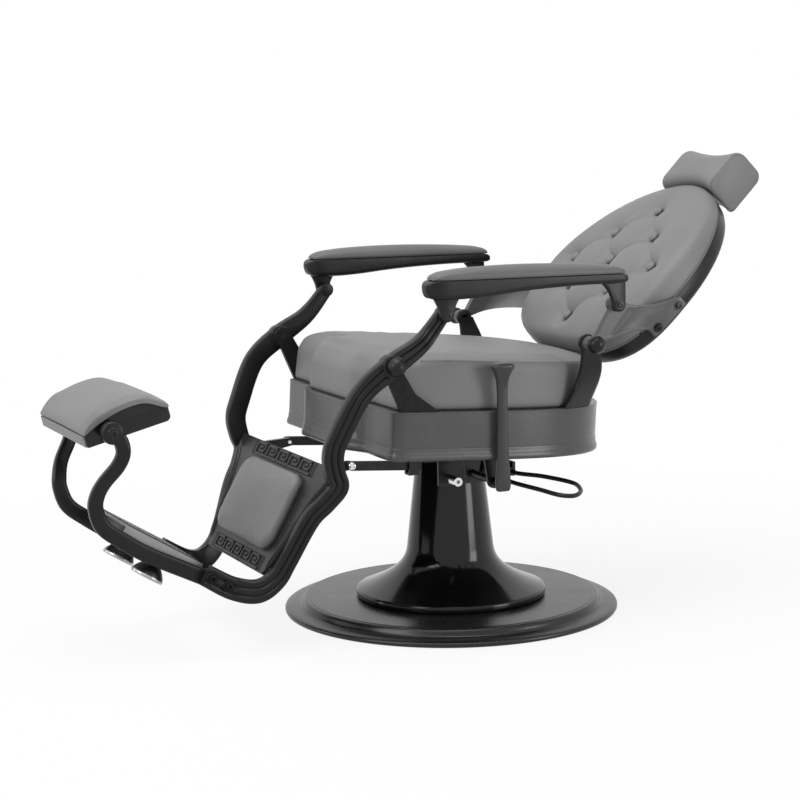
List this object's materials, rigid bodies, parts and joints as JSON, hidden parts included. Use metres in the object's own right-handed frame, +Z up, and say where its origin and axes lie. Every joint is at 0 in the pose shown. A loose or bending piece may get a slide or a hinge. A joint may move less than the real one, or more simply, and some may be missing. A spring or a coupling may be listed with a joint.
{
  "type": "barber chair",
  "caption": "Hydraulic barber chair: round base with bell column, swivelling padded seat, buttoned round back reclining together with linked armrests and leg rest, hinged footpad.",
  "frame": {"origin": "centre of the base plate's underside, on the floor and on the swivel axis", "axes": "+Z up along the column, -Y the way the sitter faces, +X the sitter's left"},
  "size_m": [0.6711, 1.4262, 0.867],
  "materials": {
    "satin_black": "satin black paint on cast iron",
    "gloss_black": "gloss black enamel",
    "dark_steel": "dark oiled steel",
    "chrome": "polished chrome",
    "bright_steel": "brushed bright steel",
    "leather": "mid-grey grained leather over padding",
    "leather_dark": "dark grey leather over padding",
    "plywood": "bare plywood",
    "black_board": "black painted board"
  },
  "bodies": {
    "base": {"base_plate": "satin_black", "base_bell": "gloss_black", "pump_cylinder": "dark_steel"},
    "lift": {"lift_piston": "chrome"},
    "seat": {"swivel_head": "dark_steel", "mount_plate": "dark_steel", "seat_pan": "satin_black", "seat_board": "plywood", "seat_cushion": "leather", "front_bracket_L": "satin_black", "front_bracket_R": "satin_black", "rear_bracket_L": "satin_black", "rear_bracket_R": "satin_black", "front_pivot_L": "gloss_black", "front_pivot_R": "gloss_black", "rear_pivot_L": "gloss_black", "rear_pivot_R": "gloss_black", "bar_guide_L": "dark_steel", "bar_guide_R": "dark_steel", "lever_bracket": "dark_steel", "pump_bracket": "dark_steel", "pedal_pin": "chrome", "lock_stud": "chrome"},
    "lever": {"recline_lever": "satin_black", "lever_shaft": "dark_steel"},
    "pedal": {"pedal_yoke": "satin_black", "pedal_loop": "satin_black"},
    "back": {"back_bracket_L": "satin_black", "back_bracket_R": "satin_black", "back_shell": "satin_black", "back_cushion": "leather", "headrest_socket": "dark_steel"},
    "headrest": {"headrest_post": "chrome", "headrest_cushion": "leather"},
    "armrests": {"armrest_L": "satin_black", "armrest_R": "satin_black", "armrest_pad_L": "leather_dark", "armrest_pad_R": "leather_dark", "arm_rear_pin_L": "gloss_black", "arm_rear_pin_R": "gloss_black", "arm_front_pin_L": "gloss_black", "arm_front_pin_R": "gloss_black"},
    "legs": {"leg_frame_L": "satin_black", "leg_frame_R": "satin_black", "calf_panel": "satin_black", "calf_pad": "leather", "foot_arm_L": "satin_black", "foot_arm_R": "satin_black", "foot_plate": "bright_steel", "foot_glide_L": "gloss_black", "foot_glide_R": "gloss_black", "link_pin_L": "chrome", "link_pin_R": "chrome", "footpad_bolt_L": "gloss_black", "footpad_bolt_R": "gloss_black"},
    "footpad": {"footpad_base": "black_board", "footpad_cushion": "leather"},
    "link_bars": {"link_bar_L": "satin_black", "link_bar_R": "satin_black"}
  },
  "joints": [
    {"name": "lift", "type": "slide", "parent": "base", "child": "lift", "axis": [0, 0, 1], "range_m": [0, 0.16]},
    {"name": "swivel", "type": "hinge", "parent": "lift", "child": "seat", "pos_m": [0, 0, 0.292], "axis": [0, 0, 1], "continuous": true},
    {"name": "recline", "type": "hinge", "parent": "seat", "child": "back", "pos_m": [0, 0.1614, 0.5354], "axis": [1, 0, 0], "range_deg": [0, 32]},
    {"name": "leg_swing", "type": "hinge", "parent": "seat", "child": "legs", "pos_m": [0, -0.241, 0.5214], "axis": [1, 0, 0], "range_deg": [0, 24.6]},
    {"name": "arm_swing", "type": "hinge", "parent": "back", "child": "armrests", "pos_m": [0, 0.2112, 0.606], "axis": [1, 0, 0], "range_deg": [-35.1, 0]},
    {"name": "bar_swing", "type": "hinge", "parent": "legs", "child": "link_bars", "pos_m": [0, -0.2745, 0.3275], "axis": [1, 0, 0], "range_deg": [-24.6, 0]},
    {"name": "headrest_height", "type": "slide", "parent": "back", "child": "headrest", "axis": [0, 0.7071, 0.7071], "range_m": [0, 0.1]},
    {"name": "footpad_tilt", "type": "hinge", "parent": "legs", "child": "footpad", "pos_m": [0, -0.7226, 0.426], "axis": [1, 0, 0], "range_deg": [-40, 40]},
    {"name": "lever_pull", "type": "hinge", "parent": "seat", "child": "lever", "pos_m": [0, -0.0235, 0.29], "axis": [1, 0, 0], "range_deg": [-18, 0], "stiffness_Nm_per_rad": 6, "springref_deg": 5.73},
    {"name": "pedal_press", "type": "hinge", "parent": "seat", "child": "pedal", "pos_m": [0.098, 0, 0.281], "axis": [0, 1, 0], "range_deg": [0, 18], "stiffness_Nm_per_rad": 8, "springref_deg": -6.88}
  ],
  "couplings": [
    {"joint": "leg_swing", "follows": "recline", "ratio": 0.765},
    {"joint": "arm_swing", "follows": "recline", "ratio": -1.0925},
    {"joint": "bar_swing", "follows": "recline", "ratio": -0.765}
  ]
}
